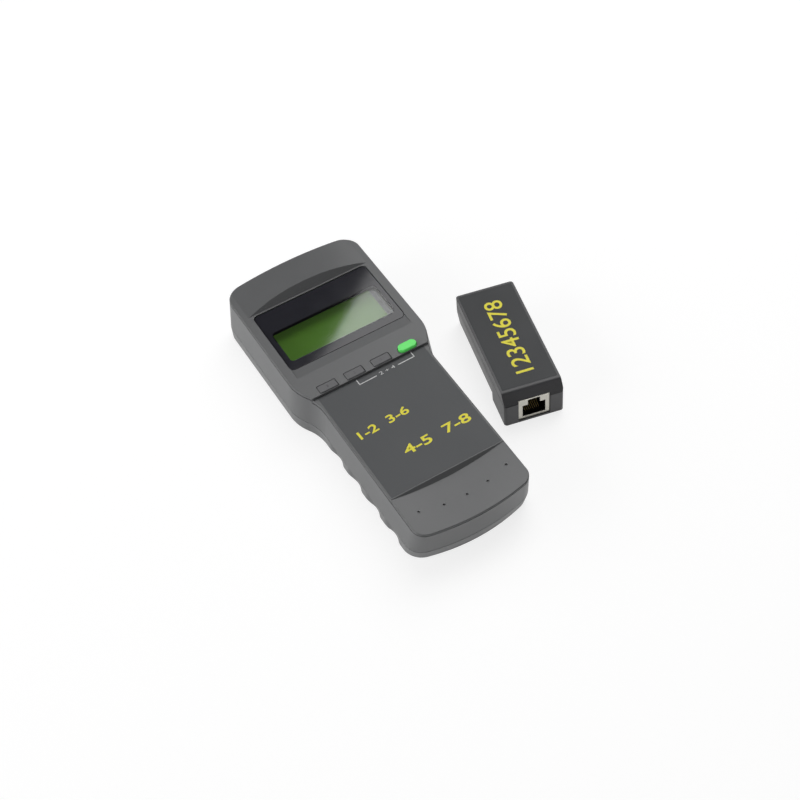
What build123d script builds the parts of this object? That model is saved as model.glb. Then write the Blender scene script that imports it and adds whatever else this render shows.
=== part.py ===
from build123d import *
import os
from math import atan2, degrees, radians, sqrt, tan

# Handheld network cable tester with its loose wire-map remote.
# Millimetres, +Z up off the surface it lies on, +Y towards the head. The origin is the centre of the
# tester's flat rear face. Pieces of the head are placed from the head end, pieces of the battery's
# end from the bottom end.

# ---------------------------------------------------------------- driving dimensions: tester housing
length = 185.8            # head end to bottom end at the parting line, along Y
head_width = 79.9         # across the head at the parting line
handle_width = 66.5       # across the handle at the parting line
parting_z = 8.0           # height of the joint between the two shells
deck_z = 26.5             # flat deck that carries the window and the keys
panel_z = 25.1            # flat handle panel, one step down from the deck
wall = 2.2                # moulded wall
draft = 7.0               # lean of the front shell's side walls, degrees
rear_draft = 1.0          # lean of the rear shell's side walls, degrees
chin = 1.9                # the bottom end leans out by this from the parting line up to the panel
heel = 1.8                # and draws in by this from the parting line down to the rear face
head_corner_r = 9.0       # plan corner radii and end arcs
rim_corner_r = 7.0        # bottom corners at the panel's height
rear_corner_r = 10.5      # bottom corners at the rear face
top_arc_r = 600.0
rim_arc_r = 125.0         # bottom end at the panel's height
rear_arc_r = 92.0         # bottom end at the rear face
neck_r = 25.0             # both arcs of the S-shaped shoulder
neck_from_head = 97.1     # where the shoulder meets the straight handle side
step_from_head = 87.2     # step between the deck and the panel
rear_edge = 1.1           # chamfer round the rear face
clearance = 0.25          # general gap between separate pieces
boss_sink = 0.2           # bosses and ribs start this far inside the floor
overrun = 4.0             # forms and cutters run past the body by this
form_depth = 40.0         # forms under the top surface reach down this far

# brow above the window
brow_from_head = 23.0     # foot of the brow's sloping face
brow_rise = 4.5           # crest height above the deck, on the centre line
brow_overrun = 5.0        # its crown runs past the head end by this
brow_end_rise = 2.0       # what is left of it at the head end
brow_half = 34.6          # the crown comes down to the deck this far from the centre line
brow_face_angle = 48.0    # slope of the face towards the window, degrees

# dished lip at the bottom end, with a row of grip dimples
lip_length = 27.1         # from the bottom end to the panel's edge
lip_step = 0.06           # step down at the lip's edges
lip_dish = 2.2            # hollow on the centre line below the panel's edge
lip_end_dish = 0.3        # hollow left at the bottom end
lip_face_angle = 50.0     # slope of the face down from the panel, degrees
dimple_count = 5
dimple_pitch = 12.0
dimple_r = 0.65
dimple_depth = 0.6
dimple_inset = 11.1       # from the bottom end
dimple_arc_r = 79.0
dimple_shift = 0.6        # the row sits a little right of the centre line

# groove under the rim of the top face
rim_drop = 0.9
rim_groove = 0.6
rim_groove_depth = 0.5
rim_edge = 0.4            # chamfer of the rim

# finger scoops down both sides of the handle's rear shell
scoop_pitch = 17.75
scoop_from_end = 25.1     # first scoop from the bottom end
scoop_r = 11.0
scoop_depth = 1.6
scoop_blend_r = 7.0

seam = 0.3                # fine groove along each parting line

# window and display, seen down a well in the deck
panel_t = 0.4             # printed panel laid into the handle
panel_margin = 1.1        # shell's edge beside it
panel_land = 0.5          # and below it
window_size = (65.4, 41.8)
window_from_head = 44.8
window_t = 1.6
window_recess = 0.5       # pane below the deck
window_corner_r = 2.5
ramp_run = 6.0            # deck falls to the pane over this length below the window
well_size = (60.0, 27.0)
well_from_head = 45.5
well_corner_r = 1.0
seat_depth = 2.0          # rim under the pane
seat_margin = 1.2
view_size = (56.0, 20.8)  # visible part of the display
display_z = 20.0          # face of the display glass
glass_t = 2.0
glass_size = (61.0, 28.4)
glass_ledge = 1.6
bezel_t = 0.5
bezel_gap = 0.2
gasket_margin = 1.4
light_guide_margin = 0.5  # beyond the view, and clear of the connector strips
zebra_width = 1.8

# boards and their screws
board_t = 1.6
display_board_z = 14.9    # underside
display_board_gap = 5.75     # inside the head's walls
display_board_depth = 64.0
display_board_from_head = 55.7
main_board_z = 4.5
main_board_setback = 3.8  # behind the jacks' faces
main_board_bay_gap = 0.6
main_board_gaps = (0.95, 4.2, 1.9)   # inside the handle, inside the head, beside the case posts
main_board_steps = (90.9, 76.9, 19.9, 17.4)   # from the head end, where the board's width changes
display_post_inset = 4.6  # inside the display board's edge
display_posts_from_head = (26.9, 71.9)
main_post_insets = (2.5, 7.55)        # inside the main board's edge, in the handle and in the head
main_post_from_head = 32.9
main_post_from_bay = 7.9
board_post_r = 2.6
screw_r = 1.25
pan_r = 2.3               # pan head of a board screw
pan_t = 1.3
screw_grip = 4.0          # length of a board screw in its post
thread_gap = 0.05
hole_spare = 1.0          # screw holes run this far past the screws
screw_overlap = 0.5       # shank into its own head and into the floor

# keys
key_pitch = 15.1
key_size = (10.0, 4.7)
key_from_head = 84.25
key_corner_r = 0.5
key_edge = 0.3
key_proud = 0.3
power_key_proud = 1.5
key_travel = 0.8
key_flange = 1.0          # flange beyond the cap, all round
key_flange_t = 1.0
key_flange_z = 21.7
key_stem = 0.3            # below the flange
key_well = 1.0            # solid wall in front of the keys
sliver = 0.01             # straight edge left between the round ends of the power key
switch_size = 6.0
switch_height = 3.6
plunger_size = 3.0
plunger_gap = 0.15
plunger_spare = 0.2       # room under a pressed plunger
plunger_grip = 0.5        # plunger's foot below the top of its switch

# eight-way jack, front face to the south, standing on its board
jack_width = 16.1
jack_height = 14.0
jack_depth = 21.0
can_t = 0.25
can_gap = 0.03
mouth_width = 11.9
mouth_floor = 1.7
mouth_height = 8.2
notch_width = 6.3
notch_margin = 0.4
mouth_depth = 12.5
contact_count = 8
contact_pitch = 1.02
contact_t = 0.32
contact_lift = 0.05       # above the mouth's floor
contact_back = 0.3        # short of the mouth's back
contact_bend = (0.4, 0.45)
contact_reach = 9.6       # forward from the back of the mouth
contact_run = 7.9         # and back again, rising
contact_rise = 2.3
jack_spacing = 23.0       # between the two jacks in the head
jack_gap = 0.25           # round each jack in its cut-out
jack_setback = 0.8        # jack face inside the head end

# chips and parts on the main board
chip_t = 1.6
chip_lift = 0.1
controller_size = 14.0
controller_from_head = 46.9
line_chip_size = (8.0, 10.5)
line_chip_x = 18.0
line_chip_from_head = 30.9
line_chip_pitch = 14.0
crystal_size = (11.0, 4.6)
crystal_height = 3.5
crystal_roundness = 0.48  # corner radius as a share of its width
crystal_from_head = 59.4
header_size = (22.0, 2.5)
header_from_head = 68.9
buzzer_r = 6.0
buzzer_height = 6.5
buzzer_place = (20.0, 74.9)   # from the middle and from the head end
buzzer_hole = (1.0, 3.0)      # radius and depth
capacitor_r = 3.15
capacitor_height = 7.0
capacitor_from_bay = 14.0
capacitor_row = (-22.0, -14.0, 6.0)

# battery, its bay and its sliding door
battery_size = (26.2, 48.2, 17.2)
battery_edge = 1.8
battery_z = 2.5
battery_from_end = 42.1
bay_gap = 0.6
snap_room = 7.5           # for the snap connector past the battery
stud_spacing = 12.7
stud_radii = (2.9, 3.9)
stud_height = 2.4
snap_size = (24.8, 4.2, 12.0)
snap_gap = 0.2
snap_edge = 2.5
rib_t = 1.5
bay_height = 12.0
door_width = 28.4
door_t = 1.9
door_lip = 1.0            # thickness of the door's outer leaf
tongue = 1.3              # each tongue beyond the outer leaf
door_gap = 0.15
rail_top = 3.6
rail_width = 2.5
grip_count = 4
grip_pitch = 2.0
grip_inset = 6.0          # first grip from the door's inner end
grip_size = (15.0, 1.0, 0.4)
lead_r = 0.7
lead_bend = 3.0
lead_x = 4.0
lead_reach = 6.0          # past the bay
lead_lift = 2.0           # above the bay's end
pad_half = 10.0
pad_lift = 2.0            # above the battery's lower face

# case screws, driven up from the rear
case_screws_in_head = (8.95, 13.4)     # from the head's side and from the head end
case_screws_in_lip = (9.75, 10.4)      # from the handle's side and from the bottom end
post_r = 3.6
screw_shank_r = 1.4
screw_head_r = 2.8
screw_head_t = 2.0
screw_sink = 1.2          # head below the rear face
screw_length = 13.0
head_overlap = 0.2        # shank into its own head
slot_width = 0.7
slot_share = 1.15         # slot length over head radius
slot_depth = 0.8

# remote, lying beside the tester
remote_place = (69.9, -10.35)
remote_turn = -13.2
remote_size = (31.0, 73.8)
remote_front_z = 20.0     # top face at the front edge
remote_back_z = 19.3
remote_setback = 4.5      # of the top front edge behind the jack face
remote_parting = 14.3
remote_wall = 1.8
remote_floor = 1.3
remote_jack_setback = 0.6 # jack's face behind the front face
remote_corner_r = 1.6
remote_front_r = 1.8
remote_taper = 1.3        # the lower shell draws in by this, behind the jack
remote_taper_z = 11.0     # below this height
remote_taper_start = 18.0 # from the front face
remote_taper_blend = 5.0
remote_taper_spare = 0.1
remote_neck = 2.0         # the hollow narrows this far in front of the taper
remote_brow_wall = (1.2, 0.6)         # the hollow keeps off the sloping brow by this, back and down
remote_label_margin = 1.2
label_t = 0.3
remote_board_size = (25.0, 38.0)
remote_board_gap = 0.5    # behind the brow's top edge
remote_post_r = 2.9
remote_post_place = (10.0, 9.9)        # from the middle and from the back end
remote_head_r = 2.5
remote_head_floor = 2.2
remote_head_gap = 0.2     # screw head above the mouth of its hole
remote_head_overlap = 0.1
remote_slot_depth = 0.65
remote_tip_gap = 0.4
resistor_size = (1.15, 6.3)
resistor_pitch = 3.0
resistor_lift = 0.15      # below the board
resistor_gap = 1.5        # behind the jack

# ---------------------------------------------------------------- places worked out from them
head_end = length / 2
bottom_end = -length / 2
neck_y = head_end - neck_from_head
step_y = head_end - step_from_head
brow_y = head_end - brow_from_head
lip_y = bottom_end + lip_length
scoop_first_y = bottom_end + scoop_from_end
scoop_count = 1 + int((neck_y - scoop_first_y - scoop_pitch / 2) / scoop_pitch)
window_y = head_end - window_from_head
well_y = head_end - well_from_head
key_y = head_end - key_from_head
pane_top = deck_z - window_recess
pane_floor = pane_top - window_t
head_face_y = head_end - jack_setback
display_board_top = display_board_z + board_t
main_board_top = main_board_z + board_t
battery_y = bottom_end + battery_from_end
battery_half = battery_size[1] / 2
bay_half = battery_size[0] / 2 + bay_gap
bay_end = battery_y - battery_half - bay_gap
partition_y = battery_y + battery_half + snap_room
door_end = partition_y - 2.0
rail_start = bottom_end + heel + wall + boss_sink
tall = deck_z + 2 * brow_rise          # above everything
plunger_top = key_flange_z - key_stem
switch_top = display_board_top + switch_height
plunger_foot = switch_top - plunger_grip
remote_jack_y = -remote_size[1] / 2 + remote_jack_setback
remote_board_z = remote_floor + jack_height
display_board_half = head_width / 2 - wall - display_board_gap
main_board_half = handle_width / 2 - scoop_depth - wall - main_board_gaps[0]
main_board_wide = head_width / 2 - wall - main_board_gaps[1]
display_posts = [
    (side * (display_board_half - display_post_inset), head_end - gap)
    for gap in display_posts_from_head
    for side in (-1, 1)
]
main_posts = [
    (side * x, y)
    for x, y in (
        (main_board_wide - main_post_insets[1], head_end - main_post_from_head),
        (main_board_half - main_post_insets[0], partition_y + main_post_from_bay),
    )
    for side in (-1, 1)
]
case_posts = [
    (side * (width / 2 - inset[0]), y)
    for width, inset, y in (
        (head_width, case_screws_in_head, head_end - case_screws_in_head[1]),
        (handle_width, case_screws_in_lip, bottom_end + case_screws_in_lip[1]),
    )
    for side in (-1, 1)
]
remote_posts = [(side * remote_post_place[0], remote_size[1] / 2 - remote_post_place[1]) for side in (-1, 1)]


# ---------------------------------------------------------------- housing form
def arc_about(centre, radius, start, end):
    """Arc of a circle from one angle to another, in degrees."""
    return CenterArc(centre, radius, start, end - start)


def angle_to(centre, point):
    """Angle in degrees of a point seen from a centre."""
    return degrees(atan2(point[1] - centre[1], point[0] - centre[0]))


def lean_at(height):
    """How far the side walls stand inside the parting line's outline at a height."""
    if height > parting_z:
        return (height - parting_z) * tan(radians(draft))
    return (parting_z - height) * tan(radians(rear_draft))


def half_width_at(width, height):
    """Half of the housing's width at a height, from its width at the parting line."""
    return width / 2 - lean_at(height)


def bottom_end_at(height):
    """Bottom end's place along Y at a height: it leans out above the parting line, in below it."""
    if height > parting_z:
        return bottom_end - chin * (height - parting_z) / (panel_z - parting_z)
    return bottom_end + heel * (parting_z - height) / parting_z


def outline(height=parting_z, inset=0.0):
    """Plan outline of the tester at a height as a face, a true parallel drawn in by inset."""
    share = height / panel_z
    corner_r = rear_corner_r + (rim_corner_r - rear_corner_r) * share
    arc_r = rear_arc_r + (rim_arc_r - rear_arc_r) * share
    half_head = half_width_at(head_width, height)
    half_handle = half_width_at(handle_width, height)
    bottom_c = (0, bottom_end_at(height) + arc_r)
    top_c = (0, head_end - top_arc_r)
    low_c = (
        half_handle - corner_r,
        bottom_c[1] - sqrt((arc_r - corner_r) ** 2 - (half_handle - corner_r) ** 2),
    )
    high_c = (
        half_head - head_corner_r,
        top_c[1] + sqrt((top_arc_r - head_corner_r) ** 2 - (half_head - head_corner_r) ** 2),
    )
    widen = half_head - half_handle
    rise = sqrt(4 * neck_r * widen - widen**2)
    waist_c = (half_handle + neck_r, neck_y)
    cheek_c = (half_head - neck_r, neck_y + rise)
    turn = angle_to(waist_c, cheek_c)
    low_angle = angle_to(bottom_c, low_c)
    high_angle = angle_to(top_c, high_c)
    side = half_handle - inset
    cheek = half_head - inset
    right = [
        arc_about(low_c, corner_r - inset, low_angle, 0),
        Line((side, low_c[1]), (side, neck_y)),
        arc_about(waist_c, neck_r + inset, 180, turn),
        arc_about(cheek_c, neck_r - inset, turn - 180, 0),
        Line((cheek, cheek_c[1]), (cheek, high_c[1])),
        arc_about(high_c, head_corner_r - inset, 0, high_angle),
    ]
    ends = (
        arc_about(bottom_c, arc_r - inset, -180 - low_angle, low_angle),
        arc_about(top_c, top_arc_r - inset, high_angle, 180 - high_angle),
    )
    left = [mirror(edge, about=Plane.YZ) for edge in right]
    return make_face([*right, *left, *ends])


def housing(low, high, inset=0.0):
    """Body between two heights whose sides follow the housing's outlines, drawn in by inset."""
    sections = [Pos(0, 0, height) * outline(height, inset) for height in (low, high)]
    return loft(sections, ruled=True)


def across(y, edge_z, rise, half):
    """Section across the body: a crowned (or, for a negative rise, dished) top over a deep rectangle."""
    reach = head_width / 2 + overrun
    radius = (half**2 + rise**2) / (2 * abs(rise))
    sag = radius - sqrt(radius**2 - reach**2)
    sign = 1 if rise > 0 else -1
    middle = edge_z + rise
    side = middle - sign * sag
    curve = ThreePointArc((-reach, side), (0, middle), (reach, side))
    sides = Polyline((reach, side), (reach, -form_depth), (-reach, -form_depth), (-reach, side))
    return Plane((0, y, 0), x_dir=(1, 0, 0), z_dir=(0, -1, 0)) * make_face([curve, *sides.edges()])


def crowned(stations, half):
    """Body through sections across it; each station is (y, edge height, rise)."""
    return loft([across(y, edge_z, rise, half) for y, edge_z, rise in stations], ruled=True)


def slab(y_from, y_to, top):
    """Wide flat block between two stations along the body."""
    reach = head_width / 2 + overrun
    middle = Pos(0, (y_from + y_to) / 2, (top - form_depth) / 2)
    return middle * Box(2 * reach, y_to - y_from, top + form_depth)


def brow_crown():
    """Crowned body of the brow, from its foot to past the head end."""
    fall = (brow_rise - brow_end_rise) / (head_end - brow_y)
    past = head_end + brow_overrun
    last_rise = brow_rise - fall * (past - brow_y)
    return crowned([(brow_y, deck_z, brow_rise), (past, deck_z, last_rise)], brow_half)


def lip_hollow_at(y):
    """Depth of the lip's hollow on the centre line."""
    return lip_dish - (lip_dish - lip_end_dish) * (lip_y - y) / lip_length


def lip_dishing():
    """Dished body of the lip, from the panel's edge to past the bottom end."""
    past = bottom_end - overrun
    stations = [(y, panel_z - lip_step, -lip_hollow_at(y)) for y in (lip_y, past)]
    return crowned(stations, half_width_at(handle_width, panel_z))


def lip_face():
    """Sloping face that leads from the panel down into the lip."""
    width = 2 * (half_width_at(handle_width, panel_z) - panel_margin)
    deep = 3 * lip_dish
    body = Box(width, 4 * deep, 2 * deep, align=(Align.CENTER, Align.MAX, Align.MAX))
    sloped = Pos(0, lip_y, panel_z) * Rot(X=lip_face_angle) * body
    return sloped & slab(lip_y - 2 * deep, lip_y, panel_z)


def behind_brow_face():
    """Wedge in front of the brow, which leaves it a flat face sloping up from the window."""
    tilt = 90 - brow_face_angle
    body = Box(2 * head_width, form_depth, 2 * form_depth, align=(Align.CENTER, Align.MAX, Align.CENTER))
    above = Pos(0, 0, deck_z + length) * Box(2 * length, 2 * length, 2 * length)
    return Pos(0, brow_y, deck_z) * Rot(X=-tilt) * body & above


def top_form(lower=0.0):
    """Everything under the tester's top surface, lowered by a given amount."""
    end = head_end + overrun
    brow = brow_crown() - behind_brow_face()
    form = slab(lip_y, step_y, panel_z) + lip_dishing() + lip_face() + slab(step_y, end, deck_z) + brow
    return Pos(0, 0, -lower) * form


def rim_edges(solid):
    """Edges that run round the top face, where it meets the side walls."""
    found = []
    for edge in solid.edges():
        middle = edge @ 0.5
        rim = outline(middle.Z).face().outer_wire()
        on_side = rim.distance_to(Vertex(middle.X, middle.Y, 0)) < 0.05
        if on_side and middle.Z > parting_z + 5 and abs((edge % 0.5).Z) < 0.5:
            found.append(edge)
    return found


def front_form():
    """Solid outer form of the front shell, with its chamfered rim and the groove below it."""
    end = head_end + overrun
    walls = housing(parting_z, tall)
    lip = walls & lip_dishing()
    panel = walls & slab(lip_y, step_y, panel_z)
    deck = walls & slab(lip_y, end, deck_z)
    brow = walls & brow_crown()
    lip, panel, deck, brow = (chamfer(rim_edges(piece), rim_edge) for piece in (lip, panel, deck, brow))
    form = lip + panel + (walls & lip_face())
    form += (deck & slab(step_y, end, deck_z)) + (brow - behind_brow_face())
    ring = walls - housing(parting_z, tall, rim_groove_depth)
    return form - (ring & (top_form(rim_drop) - top_form(rim_drop + rim_groove)))


def rear_form():
    """Solid outer form of the rear shell, with its chamfered lower edge."""
    form = housing(0, parting_z)
    return chamfer(form.edges().group_by(Axis.Z)[0], rear_edge)


def scooped_plan():
    """Plan outline with the rounded finger scoops down both sides of the handle."""
    plan = outline()
    reach = handle_width / 2 + scoop_r - scoop_depth
    for index in range(scoop_count):
        y = scoop_first_y + index * scoop_pitch
        for side in (-1, 1):
            plan -= Pos(side * reach, y) * Circle(scoop_r)
    crests = []
    for vertex in plan.vertices():
        on_side = abs(abs(vertex.X) - handle_width / 2) < 1e-4
        along = (vertex.Y - scoop_first_y) / scoop_pitch
        beside_scoop = abs(along - round(along)) * scoop_pitch < scoop_r
        if on_side and beside_scoop and -0.5 < along < scoop_count - 0.5:
            crests.append(vertex)
    return fillet(crests, scoop_blend_r)


def scoop_cutters():
    """Finger scoops as solids, leaning with the rear shell's sides."""
    slivers = outline() - scooped_plan()
    cutters = []
    for sliver in slivers.faces():
        side = 1 if sliver.center().X > 0 else -1
        hinge = Pos(side * handle_width / 2, 0, parting_z)
        lean = Rot(Y=side * rear_draft)
        local = Pos(-side * handle_width / 2, 0, -2 * parting_z)
        cutters.append(hinge * lean * local * extrude(sliver, amount=3 * parting_z))
    return cutters


# ---------------------------------------------------------------- helpers for the pieces
def block(x, y, z):
    """Box given by its lowest and highest value along each axis."""
    size = (x[1] - x[0], y[1] - y[0], z[1] - z[0])
    centre = ((x[0] + x[1]) / 2, (y[0] + y[1]) / 2, (z[0] + z[1]) / 2)
    return Pos(*centre) * Box(*size)


def centred(width, y, depth, z):
    """Box centred on the body's middle plane and on y."""
    return block((-width / 2, width / 2), (y - depth / 2, y + depth / 2), z)


def prism(x, y, radius, z, sides=8):
    """Upright many-sided post or hole between two heights."""
    return Pos(x, y, z[0]) * extrude(RegularPolygon(radius, sides), amount=z[1] - z[0])


def rounded_plate(size, radius, x, y, z):
    """Upright plate with rounded plan corners."""
    plan = RectangleRounded(size[0], size[1], radius)
    return Pos(x, y, z[0]) * extrude(plan, amount=z[1] - z[0])


def cross_slot(x, y, z, head_r, deep):
    """Cross-shaped recess up into a screw head whose lower face is at z."""
    long = slot_share * head_r
    return Pos(x, y, z) * (Box(long, slot_width, 2 * deep) + Box(slot_width, long, 2 * deep))


def seam_groove(height, plan, inner):
    """Ring-shaped cutter that leaves a fine groove round a parting line."""
    return Pos(0, 0, height - seam / 2) * extrude(plan - inner, amount=seam)


def housing_seam():
    """Fine groove between the tester's two shells."""
    return seam_groove(parting_z, outline(inset=-seam), outline(inset=seam))


def key_x(index):
    """Middle of a key, counted from the left."""
    return (index - 1.5) * key_pitch


def key_corner(index, gap=0.0):
    """Corner radius of a key, or of the hole round it: the power key, the last one, has round ends."""
    return key_size[1] / 2 + gap - sliver if index == 3 else key_corner_r + gap


# ---------------------------------------------------------------- tester housing
def jack_openings():
    """Cut-outs for the two jacks in the head end."""
    half = jack_width / 2 + jack_gap
    z = (main_board_top - jack_gap, main_board_top + jack_height + jack_gap)
    run = (head_face_y - jack_depth - 1, head_end + overrun)
    return [block((x - half, x + half), run, z) for x in (-jack_spacing / 2, jack_spacing / 2)]


def window_cutter():
    """Recess for the pane, the well under it and the ramp that runs down to it."""
    size = (window_size[0] + 2 * clearance, window_size[1] + 2 * clearance)
    pocket = rounded_plate(size, window_corner_r + clearance, 0, window_y, (pane_floor, deck_z + 1))
    well = rounded_plate(well_size, well_corner_r, 0, well_y, (display_z, deck_z))
    low_y = window_y - size[1] / 2
    inside = (low_y + 1, deck_z), (low_y + 1, pane_top)
    slope = Polyline(*inside, (low_y, pane_top), (low_y - ramp_run, deck_z), close=True)
    ramp = extrude(Plane.YZ * make_face(slope), amount=window_size[0] / 2, both=True)
    return [pocket, well, ramp]


def panel_space():
    """Space of the handle's printed panel, flush with the shell round it."""
    half = half_width_at(handle_width, panel_z) - panel_margin
    return block((-half, half), (lip_y + panel_land, step_y), (panel_z - panel_t, panel_z))


def dimples():
    """Row of grip dimples on an arc across the lip."""
    middle_y = bottom_end + dimple_inset
    half = half_width_at(handle_width, panel_z)
    cutters = []
    for index in range(dimple_count):
        x = dimple_shift + (index - (dimple_count - 1) / 2) * dimple_pitch
        y = middle_y + dimple_arc_r - sqrt(dimple_arc_r**2 - x**2)
        top = panel_z - lip_step - lip_hollow_at(y) * (1 - (x / half) ** 2)
        cutters.append(prism(x, y, dimple_r, (top - dimple_depth, top + overrun), sides=12))
    return cutters


def front_shell():
    """Upper shell with its window, key and jack openings and the posts inside it."""
    cavity = housing(parting_z, tall, wall) & top_form(wall)
    cavity -= block((-head_width, head_width), (step_y - key_well, step_y + wall), (panel_z - wall, tall))
    shell = front_form() - cavity
    seat_size = (window_size[0] + 2 * seat_margin, window_size[1] + 2 * seat_margin)
    shell += centred(seat_size[0], window_y, seat_size[1], (pane_floor - seat_depth, deck_z - wall / 2))
    inside = housing(parting_z, tall, wall / 2) & top_form(wall / 2)
    for x, y in case_posts:
        shell += prism(x, y, post_r, (parting_z, tall), sides=12) & inside
        shell -= prism(x, y, screw_shank_r, (parting_z - 1, screw_sink + screw_length + hole_spare))
    for x, y in display_posts:
        shell += prism(x, y, board_post_r, (display_board_top, deck_z - wall / 2)) & inside
        hole = (display_board_top - 1, display_board_top + screw_grip + hole_spare)
        shell -= prism(x, y, screw_r, hole)
    shell -= window_cutter()
    for index in range(4):
        hole = (key_size[0] + 2 * clearance, key_size[1] + 2 * clearance)
        corner = key_corner(index, clearance)
        shell -= rounded_plate(hole, corner, key_x(index), key_y, (key_flange_z, tall))
    shell -= jack_openings()
    shell -= panel_space()
    shell -= dimples()
    return shell - housing_seam()


def rear_shell():
    """Lower shell with finger scoops, battery bay, door grooves and bosses."""
    handle_half = handle_width / 2 - scoop_depth - wall
    waist = block((-handle_half, handle_half), (-length, neck_y), (0, parting_z))
    head = block((-head_width, head_width), (neck_y, length), (0, parting_z))
    shell = rear_form() - scoop_cutters() - (housing(wall, parting_z, wall) & (waist + head))
    foot = wall - boss_sink
    rail = bay_half + rib_t
    shell += block((-rail - rail_width, rail + rail_width), (rail_start, door_end + 1), (foot, rail_top))
    shell += block((-rail, rail), (bay_end - rib_t, partition_y + rib_t), (foot, bay_height))
    shell -= block((-bay_half, bay_half), (bay_end, partition_y), (door_lip, bay_height + 1))
    for x, y in main_posts:
        shell += prism(x, y, board_post_r, (foot, main_board_z))
        shell -= prism(x, y, screw_r, (wall - hole_spare, main_board_z + 1))
    for x, y in case_posts:
        shell += prism(x, y, post_r, (foot, parting_z), sides=12)
        shell -= prism(x, y, screw_head_r + clearance, (-1, screw_sink + screw_head_t), sides=16)
        shell -= prism(x, y, screw_shank_r + clearance, (0, parting_z + 1))
    shell -= door_profile(door_gap)
    shell -= jack_openings()
    return shell - housing_seam()


def door_profile(gap):
    """Outer leaf and tongues of the door, grown by a gap, from its inner end to past the bottom end."""
    leaf = door_width / 2 + gap
    wide = leaf + tongue
    run = (bottom_end - overrun, door_end + gap)
    outer = block((-leaf, leaf), run, (-gap, door_lip + gap))
    return outer + block((-wide, wide), run, (door_lip - gap, door_t + gap))


def battery_door():
    """Door that slides out of the bottom end, shaped to the housing, with thumb grips."""
    door = door_profile(0) & rear_form()
    long, wide, deep = grip_size
    for index in range(grip_count):
        y = door_end - grip_inset - grip_pitch * index
        door -= centred(long, y, wide, (-1, deep))
    return door


# ---------------------------------------------------------------- window and display
def display_window():
    """Clear pane with rounded corners."""
    return rounded_plate(window_size, window_corner_r, 0, window_y, (pane_floor, pane_top))


def window_gasket():
    """Foam frame between the shell and the display's bezel, which lines the well."""
    z = (display_z + bezel_t, pane_floor - seat_depth)
    outer = centred(glass_size[0] + gasket_margin, well_y, glass_size[1] + gasket_margin, z)
    return outer - rounded_plate(well_size, well_corner_r, 0, well_y, (z[0] - 1, z[1] + 1))


def lcd_bezel():
    """Folded metal frame that holds the display down on its board."""
    inner = (glass_size[0] + 2 * bezel_gap, glass_size[1] + 2 * bezel_gap)
    outer = (inner[0] + 2 * bezel_t, inner[1] + 2 * bezel_t)
    frame = centred(outer[0], well_y, outer[1], (display_board_top, display_z + bezel_t))
    frame -= centred(inner[0], well_y, inner[1], (display_board_top - 1, display_z))
    return frame - centred(view_size[0], well_y, view_size[1], (display_z - 1, display_z + bezel_t + 1))


def lcd_glass():
    """Two bonded sheets of the display; the lower one stands proud as a contact ledge."""
    split = display_z - glass_t / 2
    wide, deep = glass_size
    low = centred(wide, well_y, deep, (display_z - glass_t, split))
    return low + centred(wide, well_y + glass_ledge / 2, deep - glass_ledge, (split, display_z))


def light_guide():
    """Diffusing plate that lights the display from below."""
    deep = glass_size[1] - 2 * zebra_width - 2 * light_guide_margin
    wide = view_size[0] + 2 * light_guide_margin
    return centred(wide, well_y, deep, (display_board_top, display_z - glass_t))


def zebra_strips():
    """Two rubber connector strips between the board and the display glass."""
    reach = glass_size[1] / 2 - zebra_width / 2
    z = (display_board_top, display_z - glass_t)
    return [centred(view_size[0], well_y + side * reach, zebra_width, z) for side in (-1, 1)]


def display_board():
    """Board behind the display and the keys."""
    z = (display_board_z, display_board_top)
    board = centred(2 * display_board_half, head_end - display_board_from_head, display_board_depth, z)
    for x, y in display_posts:
        board -= prism(x, y, screw_r + clearance, (0, deck_z))
    return board


# ---------------------------------------------------------------- keys and switches
def key_cap(index):
    """Key with its flange and stem; the last one is the taller power key with round ends."""
    proud = power_key_proud if index == 3 else key_proud
    cap = rounded_plate(key_size, key_corner(index), 0, 0, (key_flange_z, deck_z + proud))
    cap = chamfer(cap.faces().sort_by(Axis.Z)[-1].edges(), key_edge)
    flange = (key_size[0] + 2 * key_flange, key_size[1] + 2 * key_flange)
    cap += centred(flange[0], 0, flange[1], (key_flange_z, key_flange_z + key_flange_t))
    cap += centred(plunger_size, 0, plunger_size, (plunger_top, key_flange_z))
    return Pos(key_x(index), key_y) * cap


def plunger(index):
    """Plunger of a switch, under its key."""
    z = (plunger_foot, plunger_top)
    return Pos(key_x(index), key_y) * centred(plunger_size, 0, plunger_size, z)


def switch_bases():
    """Bodies of the four push switches."""
    bases = []
    well = plunger_size + 2 * plunger_gap
    for index in range(4):
        base = centred(switch_size, 0, switch_size, (display_board_top, switch_top))
        base -= centred(well, 0, well, (plunger_foot - key_travel - plunger_spare, switch_top + 1))
        bases.append(Pos(key_x(index), key_y) * base)
    return bases


# ---------------------------------------------------------------- jacks
def mouth_plan():
    """Plug-shaped mouth of a jack, in its front plane: a wide opening with the latch notch on top."""
    wide = Pos(0, mouth_floor + mouth_height / 2) * Rectangle(mouth_width, mouth_height)
    top = jack_height - notch_margin
    low = mouth_floor + mouth_height - 1
    return wide + Pos(0, (low + top) / 2) * Rectangle(notch_width, top - low)


def mouth(depth):
    """Mouth as a cutter that reaches into a jack whose face is at y = 0."""
    return extrude(Plane.XZ.offset(1) * mouth_plan(), amount=-depth - 1)


def jack_housing():
    """Moulded insert of a jack, with the plug's mouth."""
    gap = can_t + can_gap
    half = jack_width / 2 - gap
    return block((-half, half), (gap, jack_depth - gap), (0, jack_height - gap)) - mouth(mouth_depth)


def jack_can():
    """Folded metal can round a jack, its front plate cut to the mouth."""
    inner = jack_width / 2 - can_t
    can = block((-jack_width / 2, jack_width / 2), (0, jack_depth), (0, jack_height))
    can -= block((-inner, inner), (can_t, jack_depth - can_t), (-1, jack_height - can_t))
    return can - mouth(2 * can_t)


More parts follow.
